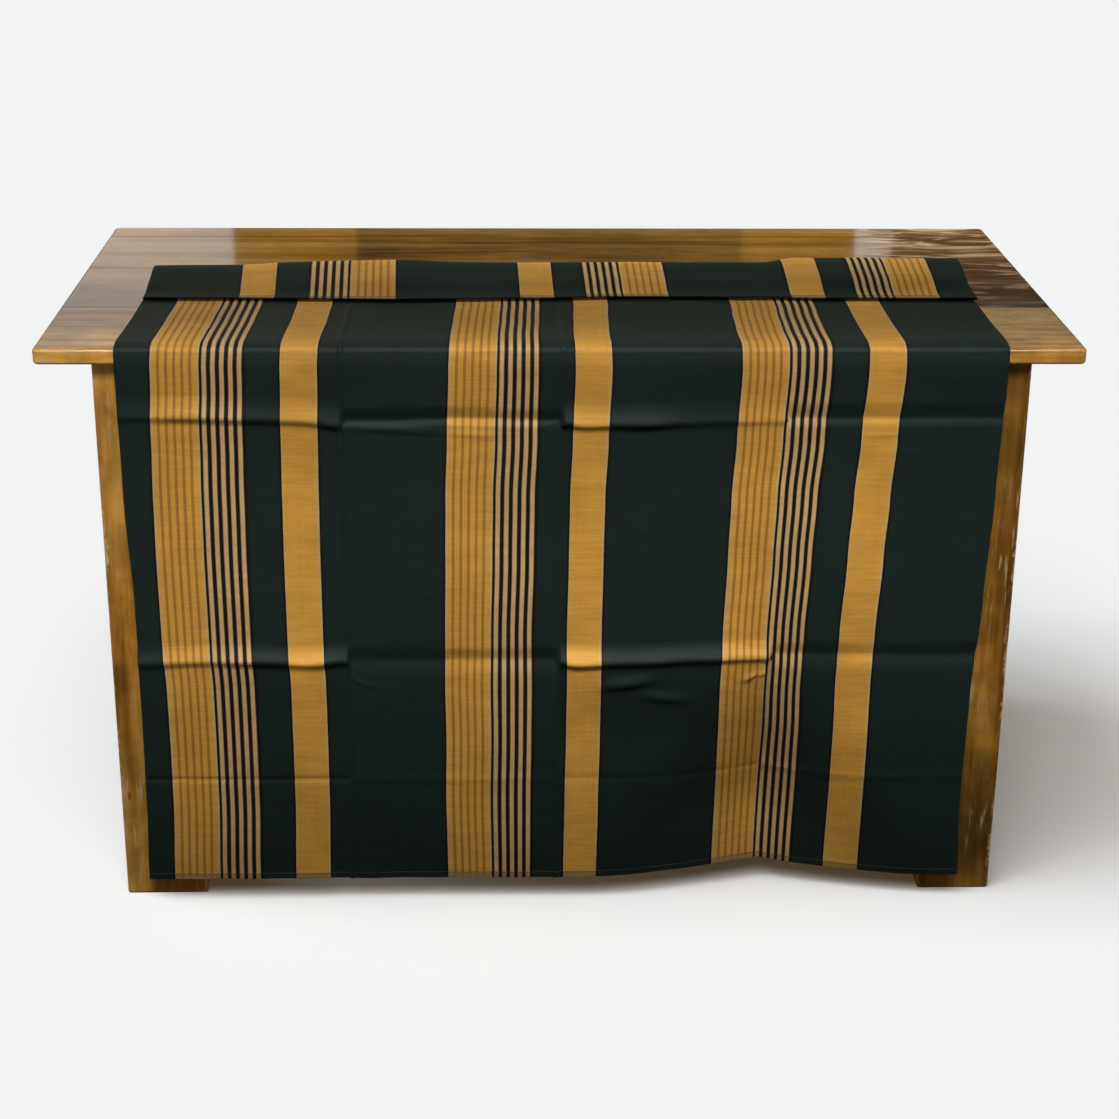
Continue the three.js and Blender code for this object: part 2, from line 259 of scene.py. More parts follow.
def uneven(kind, across, along, seed=0.0):
    """Soft noise over the cloth, of one of the kinds of unevenness."""
    strength, scale_across, scale_along, own_seed = UNEVENNESS[kind]
    across, along = np.broadcast_arrays(across, along)
    x = across / scale_across if scale_across else np.zeros(across.shape)
    y = along / scale_along if scale_along else np.zeros(across.shape)
    flat = [noise.noise(Vector((*place, seed + own_seed))) for place in zip(x.ravel(), y.ravel())]
    return strength * np.array(flat).reshape(across.shape)


def mesh_from(bm, name):
    mesh = bpy.data.meshes.new(name)
    bm.to_mesh(mesh)
    bm.free()
    return mesh


def put_in_scene(name, data):
    thing = bpy.data.objects.new(name, data)
    bpy.context.scene.collection.objects.link(thing)
    return thing


def finished_piece(name, mesh, material):
    """A piece in the scene with its material, shaded smooth."""
    mesh.polygons.foreach_set("use_smooth", np.ones(len(mesh.polygons), bool))
    mesh.materials.append(material)
    return put_in_scene(name, mesh)


# ---------------- the path of the cloth

def spline_through(points, step=0.5):
    """Close places on a centripetal Catmull-Rom curve, without its first stretch."""
    points = [np.array(point, float) for point in points]
    before = 2 * points[0] - points[1]
    after = 2 * points[-1] - points[-2]
    knots = [before, *points, after]
    curve = []
    for index in range(2, len(points)):
        p0, p1, p2, p3 = knots[index - 1:index + 3]
        gaps = [max(np.linalg.norm(b - a) ** 0.5, 1e-4) for a, b in ((p0, p1), (p1, p2), (p2, p3))]
        start = ((p1 - p0) / gaps[0] - (p2 - p0) / (gaps[0] + gaps[1]) + (p2 - p1) / gaps[1]) * gaps[1]
        end = ((p2 - p1) / gaps[1] - (p3 - p1) / (gaps[1] + gaps[2]) + (p3 - p2) / gaps[2]) * gaps[1]
        for t in np.arange(0.0, 1.0, step / np.linalg.norm(p2 - p1)):
            curve.append(
                p1 + start * t + (3 * (p2 - p1) - 2 * start - end) * t ** 2
                + (2 * (p1 - p2) + start + end) * t ** 3
            )
    return [*curve, points[-1]]


def steps_between(points):
    return np.linalg.norm(np.diff(np.array(points), axis=0), axis=1)


def make_side_path():
    """The middle of the flattened tube seen from the side: along, back, height and the way out."""
    lift = REST + HALF_TUBE
    flat_end = FOLDED_AT - FOLD_LEAD
    at = FOLDED_AT
    fold = spline_through([
        (flat_end - 30, lift), (flat_end, lift), (at - 16, 3.2), (at - 5, 6.8), (at - HALF_TUBE, 12.6),
        (at - 5, 17.6), (at - 14, 20.2), (at - 30, 19.6), (at - 55, 15.2), (at - 85, 10),
        (BAND_EDGE + 26, BAND_HEIGHT + 0.7), (BAND_EDGE, BAND_HEIGHT),
    ])
    radius = EDGE_ROUND + lift
    angles = np.linspace(0.0, math.pi / 2, 24)
    bend = [(EDGE_ROUND - radius * math.cos(a), radius * math.sin(a) - EDGE_ROUND) for a in angles]
    lay = [(back, lift) for back in np.arange(EDGE_ROUND + 1, flat_end - 1, 1.0)]
    hang = LENGTH - steps_between([*bend, *lay, *fold]).sum()
    low = [(-lift, -EDGE_ROUND - fall) for fall in np.linspace(hang, 1.0, 700)]
    places = np.array([*low, *bend, *lay, *fold])
    along = np.concatenate([[0.0], np.cumsum(steps_between(places))])
    tangent = np.gradient(places, along, axis=0)
    tangent /= np.linalg.norm(tangent, axis=1)[:, None]
    sizes = dict(hang=hang, bend=radius * math.pi / 2, fold=along[-1] - steps_between(fold).sum())
    return dict(along=along, back=places[:, 0], height=places[:, 1], out_back=-tangent[:, 1],
                out_height=tangent[:, 0], **sizes)


PATH = make_side_path()
HANG = PATH["hang"]
FOLD_START = PATH["fold"]
UNDER_BAND = FOLD_START - (FOLDED_AT - FOLD_LEAD - BAND_EDGE)


# ---------------- creases, pleat and waves

def soft_peak(t, roundness=0.015):
    """A ridge with a slightly rounded top: 1 at 0 and 0 beyond 1."""
    edge = math.sqrt(1 + roundness)
    top = math.sqrt(roundness)
    return np.clip((edge - np.sqrt(t * t + roundness)) / (edge - top), 0.0, None)


def by_quarter(across, values):
    """A value for each quarter of the width, changing quickly at the creases between them."""
    total = np.full(np.shape(across), float(values[0]))
    for crease, value in zip(QUARTER_CREASES, values[1:]):
        total = total + (value - total) * since(across, crease["across"] - 4, 8)
    return total


def cross_creases(across, along):
    """How far the pressed creases across the cloth stand out."""
    total = 0.0
    for row in CROSS_CREASES:
        height, upper, lower, drop = (
            by_quarter(across, [quarter[name] for quarter in row["quarters"]])
            for name in ("height", "upper", "lower", "drop")
        )
        wander = row["wander"]
        stray = read_table(CREASE_WANDER, "across", across, wander) if wander else 0.0
        size = read_table(CREASE_WANDER, "across", across, wander + "_size") if wander else 1.0
        size = size * (1 + uneven("crease strength", across, along, row["above"]))
        stray = stray + uneven("crease stray", across, along, row["above"])
        off = along - row["above"] - stray - uneven("crease wobble", across, along, row["above"])
        upper_hollow, lower_hollow = (
            np.where(height > 0, ridge, valley) for ridge, valley in zip(RIDGE_SLOPES, VALLEY_SLOPES)
        )
        above = height * soft_peak(off / upper) ** upper_hollow
        steep = np.sign(height) * drop * soft_peak(-off / lower) ** lower_hollow
        slow = np.clip(height - drop, 0, None) * (1 - smooth(-off / CREASE_FADE))
        total = total + size * np.where(off > 0, above, steep + slow)
    return total


def quarter_creases(across, along):
    """How far the pressed lines up the cloth stand out: the valleys fade where it lies on the table."""
    free = until(along, HANG - 30, 40)
    lying = until(along, UNDER_BAND - 12, 30)
    total = 0.0
    for row in QUARTER_CREASES:
        stray = uneven("quarter stray", across, along, row["across"])
        share = soft_peak(np.abs(across - row["across"] - stray) / row["half_width"])
        fade = free if row["height"] < 0 else lying
        strength = 1 + uneven("quarter strength", across, along, row["across"])
        total = total + row["height"] * share * fade * strength
    return total


def pleat_swing(across, along):
    """How far the pleat at the lower right swings back, like a bell that widens to the hem."""
    low = np.clip(1 - along / PLEAT["top"], 0.0, 1.0)
    half = PLEAT["half_top"] + (PLEAT["half_hem"] - PLEAT["half_top"]) * low
    share = np.clip(1 - np.abs(across - PLEAT["across"]) / half, 0.0, 1.0)
    return PLEAT["depth"] * smooth(1.25 * low) * share ** PLEAT["power"]


def tuck(across, along):
    """The line down the pleat, gentle on one side of it and steep on the other."""
    off = across - TUCK["across"] - uneven("tuck stray", across, along)
    reach = np.where(off > 0, TUCK["steep"], TUCK["gentle"])
    fade = until(along, TUCK["top"], 160) * (0.75 + 0.25 * since(along, 0, 200))
    return TUCK["height"] * soft_peak(np.abs(off) / reach) * fade


def wrinkles(across, along):
    """How far the small rucks stand out."""
    total = 0.0
    for row in WRINKLES:
        length = math.hypot(1, row["slope"])
        step_across, step_along = across - row["across"], along - row["along"]
        lengthwise = (step_across + row["slope"] * step_along) / length / row["half"]
        sideways = (step_along - row["slope"] * step_across) / length
        reach = np.where(sideways > 0, row["upper"], row["lower"])
        ends = np.clip(1 - lengthwise ** 2, 0, None)
        total = total + row["height"] * ends * soft_peak(np.abs(sideways) / reach, 0.03)
    return total


def undulation(across, along):
    """The small unevenness of pressed cotton: most where it hangs free, little where it lies."""
    hanging = until(along, HANG - 10, 120)
    waves = uneven("broad waves", across, along) + uneven("small waves", across, along)
    puffs = PUFF_HEIGHT * np.clip(uneven("puffs", across, along) + PUFF_SHARE, 0, None)
    on_table = since(along, HANG + 20, 30) * until(along, UNDER_BAND - 10, 30)
    from_edge = along - HANG - PATH["bend"] / 2
    near_edge = np.exp(-(from_edge / STAND_OFF["near"]) ** 2)
    standing_off = STAND_OFF["height"] * (1 - near_edge) * np.exp(-(from_edge / STAND_OFF["far"]) ** 2)
    return waves * hanging + puffs * on_table + standing_off


def side_pull(across, along):
    """How far the cloth is pulled sideways."""
    left = read_table(SIDE_PULL, "along", along, "left")
    right = read_table(SIDE_PULL, "along", along, "right")
    return left + (right - left) * across / WIDTH


def cloth_point(across, along, offset):
    """Places on the flattened tube, in metres; offset is how far in front of its middle they are."""
    across, along = np.broadcast_arrays(np.asarray(across, float), np.asarray(along, float))
    back, height, out_back, out_height = (
        np.interp(along, PATH["along"], PATH[name]) for name in ("back", "height", "out_back", "out_height")
    )
    hanging = until(along, HANG, 40)
    free = until(along, HANG - 20, 60)
    relief = hanging * cross_creases(across, along) + quarter_creases(across, along)
    relief = relief + free * (tuck(across, along) + wrinkles(across, along)) + undulation(across, along)
    swing = pleat_swing(across, along)
    x = across - WIDTH / 2 + side_pull(across, along)
    folded = since(along, FOLD_START, 25) * until(along, LENGTH, 60)
    lumps = uneven("fold lumps", across, along)
    rise = (read_table(FOLD_WAVE, "across", across, "rise") + lumps) * folded
    loose = since(along, FOLD_START + 40, 90)
    forward = (read_table(FOLD_WAVE, "across", across, "forward") + 1.2 * lumps) * loose
    x = x + 4.0 * since(across, WIDTH - 40, 40) * since(along, LENGTH - 40, 30)
    hem_wave = uneven("hem wave", across, along) * until(along, 30, 30)
    away = relief + offset
    return np.stack([
        x * MM,
        TABLE_FRONT + (back + out_back * away + swing + rise - forward) * MM,
        TABLE_TOP + (height + out_height * away + swing ** 2 / (2 * PLEAT["top"]) + rise + hem_wave) * MM,
    ], axis=-1)


def front_slide(across, along):
    """How far round the tube the front layer's warps have slid: a row for each along."""
    places = np.array(list(LEAN_PLACES.values()), float)
    leans = np.stack([read_table(LEANS, "along", along, name) for name in LEAN_PLACES], axis=1)
    leaning = np.stack([np.interp(across, places, row) for row in leans])
    return side_pull(across[None, :], along[:, None]) - leaning


def rear_slide(across, along):
    """The same for the rear layer: carried over from the two folds, but its own where it shows."""
    at_folds = front_slide(np.array([0.0, WIDTH]), along)
    hidden = at_folds[:, :1] + (at_folds[:, 1:] - at_folds[:, :1]) * across[None, :] / WIDTH
    fold = read_table(BAND_LEANS, "across", across, "fold")[None, :]
    hem = read_table(BAND_LEANS, "across", across, "hem")[None, :]
    towards_hem = np.clip((along - FOLD_START - 50) / (LENGTH - FOLD_START - 50), 0, 1)[:, None]
    shown = fold + (hem - fold) * towards_hem - side_pull(across[None, :], along[:, None])
    return hidden + (shown - hidden) * since(along, HANG + 60, 180)[:, None]


# ---------------- the cloth's meshes
# A mark is (place, pitch there, reach): near it columns or stations lie closer together, in millimetres.

PITCH, REAR_PITCH = 12.0, 19.0
FRONT_MARKS = [(275, 1.7, 7), (550, 1.8, 8), (827, 1.8, 12)]
REAR_MARKS = [(275, 5, 4), (550, 5, 4), (828, 5, 6)]
STATION_MARKS = [
    (HEM, 0.5, 0), (148, 2.2, 8), (300, 2.9, 42), (648, 2.6, 27), (HANG + PATH["bend"] / 2, 1.1, 5),
    (FOLD_START + 32, 3.4, 32), (LENGTH - HEM, 0.5, 0),
]
HEM_STATIONS = [0.0, 0.4, 1.5, 4.5, 7.5, 8.6, HEM]


def places_between(start, end, pitch, marks):
    """Places from start to end: pitch apart, and closer together near each mark."""
    places = [start]
    while places[-1] < end:
        here = places[-1]
        step = min([pitch] + [fine + 0.3 * max(0.0, abs(here - mark) - reach) for mark, fine, reach in marks])
        places.append(here + step)
    places = np.array(places)
    return start + (places - start) * (end - start) / (places[-1] - start)


def turned_side(at, sign, end, half):
    """Columns round one fold of the tube, from one layer to the other."""
    steps = 5
    angles = [math.pi * (0.5 - step / steps) for step in range(1, steps)]
    return [(at, sign * half * math.sin(a), sign * half * math.cos(a), end - half * math.sin(a))
            for a in angles]


def ring_of_cloth(half):
    """Columns round the tube as rows of (across, offset, sideways, round), from the left fold."""
    front = places_between(half, WIDTH - half, PITCH, FRONT_MARKS)
    rear = places_between(half, WIDTH - half, REAR_PITCH, REAR_MARKS)[::-1]
    ring = [(place, half, 0.0, place) for place in front]
    ring += turned_side(WIDTH - half, 1, WIDTH, half)
    ring += [(place, -half, 0.0, ROUND - place) for place in rear]
    ring += turned_side(half, -1, ROUND, half)
    return np.array(ring)


def tube_of_cloth(name, stations, half, layer, material):
    """A shell of cloth round the flattened tube, one layer thick, with the warps' places as its UVs."""
    ring = ring_of_cloth(half)
    across, offset, sideways, around = ring.T
    points = cloth_point(across[None, :], stations[:, None], offset[None, :])
    points[..., 0] += sideways[None, :] * MM
    count, size = len(stations), len(ring)
    is_front = np.arange(size) < np.argmax(sideways > 0)
    slide = np.where(is_front[None, :], front_slide(across, stations), rear_slide(across, stations))
    warp = around[None, :] + slide

    low = np.arange(count - 1)[:, None] * size
    here = np.arange(size)[None, :]
    after = (here + 1) % size
    faces = np.stack([low + here, low + after, low + size + after, low + size + here], axis=-1).reshape(-1, 4)
    mesh = bpy.data.meshes.new(name)
    mesh.from_pydata(points.reshape(-1, 3).tolist(), [], faces.tolist())

    warp_round = np.concatenate([warp, warp[:, :1] + ROUND], axis=1)
    station_low = np.repeat(np.arange(count - 1), size)
    column = np.tile(np.arange(size), count - 1)
    corners = ((0, 0), (0, 1), (1, 1), (1, 0))
    uvs = np.stack([
        np.stack([warp_round[station_low + up, column + side], stations[station_low + up]], axis=-1)
        for up, side in corners
    ], axis=1) * MM
    layer_map = mesh.uv_layers.new(name="cloth")
    layer_map.data.foreach_set("uv", uvs.reshape(-1).astype(np.float32))
    piece = finished_piece(name, mesh, material)
    solidify = piece.modifiers.new("layer of cloth", "SOLIDIFY")
    solidify.thickness = layer * MM
    solidify.offset = -1.0
    return piece


# ---------------- stitches, in millimetres

STITCH_LENGTH, STITCH_WIDTH = 2.6, 0.7
HEM_PITCH, HEM_STITCH = 3.4, 2.5      # from one stitch to the next, and from a stitch's start to its end
SEAM_PITCH, SEAM_STITCH = 4.2, 2.4
SEAM_PLACE = 6.0                      # from the left fold, and from both to the hems' first stitches
HEM_LINE = 1.2                        # from the hem's inner edge


def stitch_shape():
    """One stitch of thread, lying along X and sunk half into the cloth."""
    bm = bmesh.new()
    bmesh.ops.create_uvsphere(bm, u_segments=6, v_segments=4, radius=0.5)
    bmesh.ops.transform(bm, matrix=Matrix.Rotation(math.pi / 2, 4, "Y"), verts=bm.verts)
    size = (STITCH_LENGTH * MM, STITCH_WIDTH * MM, STITCH_WIDTH * MM)
    bmesh.ops.scale(bm, vec=size, verts=bm.verts)
    return mesh_from(bm, "one stitch")


def sew_row(bm, shape, across, along, step, offset):
    """A stitch at each place, lying on the face that is offset from the tube's middle."""
    starts = cloth_point(across, along, offset)
    ends = cloth_point(across + step[0], along + step[1], offset)
    inner = cloth_point(across + step[0] / 2, along + step[1] / 2, 0.0)
    for start, end, below in zip(starts, ends, inner):
        middle = (start + end) / 2
        lengthwise = Vector(end - start).normalized()
        sideways = Vector(middle - below).cross(lengthwise).normalized()
        turn = Matrix((lengthwise, sideways, lengthwise.cross(sideways))).transposed().to_4x4()
        stitch = shape.copy()
        stitch.transform(Matrix.Translation(Vector(middle)) @ turn)
        bm.from_mesh(stitch)
        bpy.data.meshes.remove(stitch)


def sew_sarong(material):
    """Stitches right round both hems, and up the rear layer beside the tube's sewn side, in one mesh."""
    bm = bmesh.new()
    shape = stitch_shape()
    across = np.arange(SEAM_PLACE, WIDTH - SEAM_PLACE, HEM_PITCH)
    for along in (HEM - HEM_LINE, LENGTH - HEM + HEM_LINE):
        for side in (1, -1):
            sew_row(bm, shape, across, along, (HEM_STITCH, 0.0), side * HALF_HEM)
    along = np.arange(HEM, LENGTH - HEM - SEAM_STITCH, SEAM_PITCH)
    sew_row(bm, shape, SEAM_PLACE, along, (0.0, SEAM_STITCH), -HALF_TUBE)
    return finished_piece("sarong_stitches", mesh_from(bm, "sarong_stitches"), material)


# ---------------- shader building

class Nodes:
    """Short ways to add and join nodes in one tree."""

    def __init__(self, tree):
        self.tree = tree

    def add(self, kind, **settings):
        node = self.tree.nodes.new(kind)
        for name, value in settings.items():
            setattr(node, name, value)
        return node

    def put(self, value, socket):
        """Joins an output to a socket, or sets the socket to a plain value."""
        if isinstance(value, bpy.types.NodeSocket):
            self.tree.links.new(value, socket)
        else:
            socket.default_value = value

    def math(self, operation, *values, clamp=False):
        node = self.add("ShaderNodeMath", operation=operation, use_clamp=clamp)
        for value, socket in zip(values, node.inputs):
            self.put(value, socket)
        return node.outputs[0]

    def times(self, first, second):
        return self.math("MULTIPLY", first, second)

    def plus(self, first, second):
        return self.math("ADD", first, second)

    def split(self, vector):
        node = self.add("ShaderNodeSeparateXYZ")
        self.put(vector, node.inputs[0])
        return node.outputs

    def vector(self, *parts):
        node = self.add("ShaderNodeCombineXYZ")
        for part, socket in zip(parts, node.inputs):
            self.put(part, socket)
        return node.outputs[0]

    def vectors(self, operation, first, second):
        node = self.add("ShaderNodeVectorMath", operation=operation)
        self.put(first, node.inputs[0])
        self.put(second, node.inputs[1])
        return node.outputs[0]

    def mix(self, factor, a, b, blend="MIX"):
        node = self.add("ShaderNodeMix", data_type="RGBA", blend_type=blend)
        for value, index in ((factor, 0), (a, 6), (b, 7)):
            value = (*value, 1.0) if isinstance(value, tuple) and len(value) == 3 else value
            self.put(value, node.inputs[index])
        return node.outputs[2]

    def tinted(self, colour, shares):
        """A colour with each of its channels multiplied by its own share."""
        shade = self.add("ShaderNodeCombineColor")
        for share, socket in zip(shares, shade.inputs):
            self.put(share, socket)
        return self.mix(1.0, colour, shade.outputs[0], "MULTIPLY")

    def noise(self, vector, scale, detail=3.0, roughness=0.5, distortion=0.0):
        """Noise at one scale, or at a scale for each axis."""
        if isinstance(scale, tuple):
            vector, scale = self.vectors("MULTIPLY", vector, scale), 1.0
        node = self.add("ShaderNodeTexNoise")
        self.put(vector, node.inputs["Vector"])
        for name, value in (("Scale", scale), ("Detail", detail), ("Roughness", roughness),
                            ("Distortion", distortion)):
            node.inputs[name].default_value = value
        return node.outputs["Fac"]

    def span(self, value, low, high, to_low=0.0, to_high=1.0):
        node = self.add("ShaderNodeMapRange", interpolation_type="SMOOTHSTEP")
        for item, socket in zip((value, low, high, to_low, to_high), node.inputs):
            self.put(item, socket)
        return node.outputs[0]

    def ramp(self, value, stops, interpolation="LINEAR"):
        node = self.add("ShaderNodeValToRGB")
        node.color_ramp.interpolation = interpolation
        elements = node.color_ramp.elements
        while len(elements) < len(stops):
            elements.new(1.0)
        for element, (place, colour) in zip(elements, stops):
            element.position = place
        for element, (place, colour) in zip(elements, stops):
            element.color = (*colour, 1.0)
        self.put(value, node.inputs[0])
        return node.outputs[0]


def new_group(name, inputs, outputs):
    """An empty shader group: each input is a number with its default, or a place where that is None, and
    each output a number. Returns the group, its nodes, its inputs and its outputs."""
    tree = bpy.data.node_groups.new(name, "ShaderNodeTree")
    for title, default in inputs.items():
        kind = "NodeSocketVector" if default is None else "NodeSocketFloat"
        socket = tree.interface.new_socket(title, in_out="INPUT", socket_type=kind)
        if default is not None:
            socket.default_value = default
    for title in outputs:
        tree.interface.new_socket(title, in_out="OUTPUT", socket_type="NodeSocketFloat")
    nodes = Nodes(tree)
    return tree, nodes, nodes.add("NodeGroupInput").outputs, nodes.add("NodeGroupOutput").inputs


def new_material(name):
    material = bpy.data.materials.new(name)
    material.use_nodes = True
    nodes = Nodes(material.node_tree)
    return material, nodes, material.node_tree.nodes["Principled BSDF"].inputs


def use_group(nodes, group, **values):
    node = nodes.add("ShaderNodeGroup", node_tree=group)
    for title, value in values.items():
        nodes.put(value, node.inputs[title])
    return node.outputs


def add_bump(nodes, surface, height, distance, strength=1.0):
    bump = nodes.add("ShaderNodeBump")
    bump.inputs["Strength"].default_value = strength
    bump.inputs["Distance"].default_value = distance
    nodes.put(height, bump.inputs["Height"])
    nodes.put(bump.outputs[0], surface["Normal"])


# ---------------- shared effects

def plain_weave_group():
    """Crossing threads: Height for bump, Slub for the weft's uneven thickness, Streak for the warps'."""
    tree, nodes, given, out = new_group("plain weave", dict(Cloth=None, Thread=0.0009),
                                        ("Height", "Slub", "Streak"))
    turns = nodes.math("DIVIDE", 2 * math.pi, given["Thread"])
    around, along, _ = nodes.split(given["Cloth"])
    warp = nodes.math("SINE", nodes.times(around, turns))
    weft = nodes.math("SINE", nodes.times(along, turns))
    nodes.put(nodes.times(warp, weft), out["Height"])
    fine = nodes.noise(given["Cloth"], (16.0, 380.0, 1.0), 3.0, 0.65)
    broad = nodes.noise(given["Cloth"], (22.0, 75.0, 1.0), 2.0, 0.5)
    slub = nodes.plus(nodes.times(fine, 0.6), nodes.times(broad, 0.4))
    nodes.put(nodes.span(slub, 0.3, 0.7, -1.0, 1.0), out["Slub"])
    streak = nodes.noise(given["Cloth"], (700.0, 3.0, 1.0), 2.0, 0.5)
    nodes.put(nodes.span(streak, 0.3, 0.7, -1.0, 1.0), out["Streak"])
    return tree


def wood_grain_group():
    """Long figure, pores, clouds, mottling, dark specks, the painted reflection's streaks and scratches, each
    from 0 to 1.
    """
    tree, nodes, given, out = new_group(
        "wood grain", dict(Place=None, Piece=0.0),
        ("Figure", "Pores", "Clouds", "Mottle", "Specks", "Streaks", "Scratches"),
    )
    shift = nodes.vector(nodes.times(given["Piece"], 7.3), nodes.times(given["Piece"], 3.1))
    place = nodes.vectors("ADD", given["Place"], shift)
    wide = nodes.noise(place, (1.1, 13.0, 13.0), 4.0, 0.55, 0.8)
    fine = nodes.noise(place, (4.0, 90.0, 90.0), 3.0, 0.6)
    figure = nodes.plus(nodes.times(wide, 0.72), nodes.times(fine, 0.28))
    nodes.put(nodes.span(figure, 0.32, 0.68), out["Figure"])
    nodes.put(nodes.noise(place, 5.5, 3.0, 0.55), out["Clouds"])
    for title, scale, detail, roughness, distortion, low, high in (
        ("Pores", (30.0, 900.0, 900.0), 2.0, 0.7, 0.0, 0.62, 0.75),
        ("Mottle", (22.0, 34.0, 34.0), 3.0, 0.55, 0.0, 0.33, 0.67),
        ("Scratches", (16.0, 170.0, 170.0), 3.0, 0.6, 0.0, 0.55, 0.66),
        ("Specks", (26.0, 60.0, 60.0), 1.0, 0.4, 0.0, 0.75, 0.80),
        ("Streaks", (6.0, 34.0, 34.0), 3.0, 0.5, 2.2, 0.45, 0.66),
    ):
        marks = nodes.noise(place, scale, detail, roughness, distortion)
        nodes.put(nodes.span(marks, low, high), out[title])
    return tree


def edge_wear_group():
    """Where the varnish has chipped off: Bare from 0 to 1, most near the edges."""
    tree, nodes, given, out = new_group("edge wear", dict(Place=None, Edge=0.0, Amount=0.5), ("Bare",))
    chips = nodes.noise(given["Place"], 90.0, 5.0, 0.65)
    patches = nodes.noise(given["Place"], 9.0, 3.0, 0.6)
    level = nodes.plus(nodes.times(chips, 0.45), nodes.times(patches, 0.55))
    edge = nodes.times(nodes.math("POWER", given["Edge"], 1.6), given["Amount"])
    nodes.put(nodes.span(nodes.plus(level, nodes.times(edge, 0.42)), 0.66, 0.76), out["Bare"])
    return tree


# ---------------- materials

def stripe_stops():
    """The warps' colours through one repeat but for the thin stripes, as (place from 0 to 1, colour)."""
    left, right = PLAIN_STRIPE
    stops = [
        (0.0, PALE_EDGE), (STRIPE_EDGE, GOLD), (WIDE_STRIPE - STRIPE_EDGE, PALE_EDGE),
        (WIDE_STRIPE, BORDER_BLACK),
        (THIN_START + THIN_STRIPES * THIN_PITCH - THIN_GAP + STRIPE_BORDER, DARK_GROUND),
        (left - STRIPE_BORDER, BORDER_BLACK), (left, PALE_EDGE), (left + STRIPE_EDGE, GOLD),
        (right - STRIPE_EDGE, PALE_EDGE), (right, BORDER_BLACK), (right + STRIPE_BORDER, DARK_GROUND),
        (REPEAT - STRIPE_BORDER, BORDER_BLACK),
    ]
    return [(place / REPEAT, colour) for place, colour in stops]


def repeated_lines(nodes, place, first, pitch, count, core, reach):
    """A mask of count soft lines: full up to core from each line's middle, none past reach."""
    steps = nodes.math("DIVIDE", nodes.math("SUBTRACT", place, first), pitch)
    fraction = nodes.math("FRACT", nodes.plus(steps, 0.5))
    off_line = nodes.times(nodes.math("ABSOLUTE", nodes.math("SUBTRACT", fraction, 0.5)), pitch)
    inside = nodes.times(nodes.math("GREATER_THAN", steps, -0.5), nodes.math("LESS_THAN", steps, count - 0.5))
    return nodes.times(nodes.span(off_line, core, reach, 1.0, 0.0), inside)


def striped_cotton(name, weave, hem_shade=0.0):
    """The woven stripes; hem_shade is how far the gold is painted a darker greyer brown, a painted shade on
    the turned hems.
    """
    material, nodes, surface = new_material(name)
    cloth = nodes.add("ShaderNodeUVMap", uv_map="cloth").outputs[0]
    from_stripe = nodes.math("SUBTRACT", nodes.split(cloth)[0], FIRST_STRIPE * MM)
    phase = nodes.math("FLOORED_MODULO", nodes.math("DIVIDE", from_stripe, REPEAT * MM), 1.0)
    place = nodes.times(phase, REPEAT)
    base = nodes.ramp(phase, stripe_stops(), "CONSTANT")
    spacing = WIDE_STRIPE / (WIDE_LINES + 1)
    line = repeated_lines(nodes, place, spacing, spacing, WIDE_LINES, core=0.8, reach=2.8)
    base = nodes.mix(nodes.times(line, 0.72), base, GOLD_LINE)
    half = (THIN_PITCH - THIN_GAP) / 2
    thin = repeated_lines(nodes, place, THIN_START + half, THIN_PITCH, THIN_STRIPES, half - 1.0, half + 0.7)
    base = nodes.mix(thin, base, BEIGE)
    threads = use_group(nodes, weave, Cloth=cloth)
    light = nodes.add("ShaderNodeSeparateColor")
    nodes.put(base, light.inputs[0])
    golden = nodes.span(light.outputs[0], 0.1, 0.4)
    tone = nodes.plus(nodes.times(threads["Slub"], 0.13), nodes.times(threads["Streak"], 0.05))
    tone = nodes.plus(nodes.times(tone, nodes.span(golden, 0.0, 1.0, 0.8, 1.0)), 1.0)
    washed = nodes.span(nodes.noise(cloth, (6.0, 10.0, 1.0), 4.0), 0.3, 0.7, 0.91, 1.09)
    tone = nodes.times(tone, washed)
    # The turned hems' gold is painted darker and greyer: painted shade.
    colour = nodes.mix(nodes.times(golden, hem_shade), nodes.tinted(base, (tone, tone, tone)), HEM_SHADE_GOLD)
    nodes.put(colour, surface["Base Color"])
    nodes.put(nodes.span(golden, 0.0, 1.0, 0.62, 0.55), surface["Roughness"])
    surface["Specular IOR Level"].default_value = 0.25
    surface["Sheen Weight"].default_value = 0.03
    surface["Sheen Roughness"].default_value = 0.45
    height = nodes.plus(nodes.times(threads["Height"], 0.35), nodes.times(threads["Slub"], 0.5))
    add_bump(nodes, surface, height, 0.00022, 0.6)
    return material


def sewing_thread():
    material, nodes, surface = new_material("sewing thread")
    place = nodes.add("ShaderNodeTexCoord").outputs["Object"]
    twist = nodes.noise(place, 900.0, 2.0)
    nodes.put(nodes.mix(twist, THREAD, tuple(2.0 * c for c in THREAD)), surface["Base Color"])
    surface["Roughness"].default_value = 0.7
    add_bump(nodes, surface, twist, 0.0001)
    return material


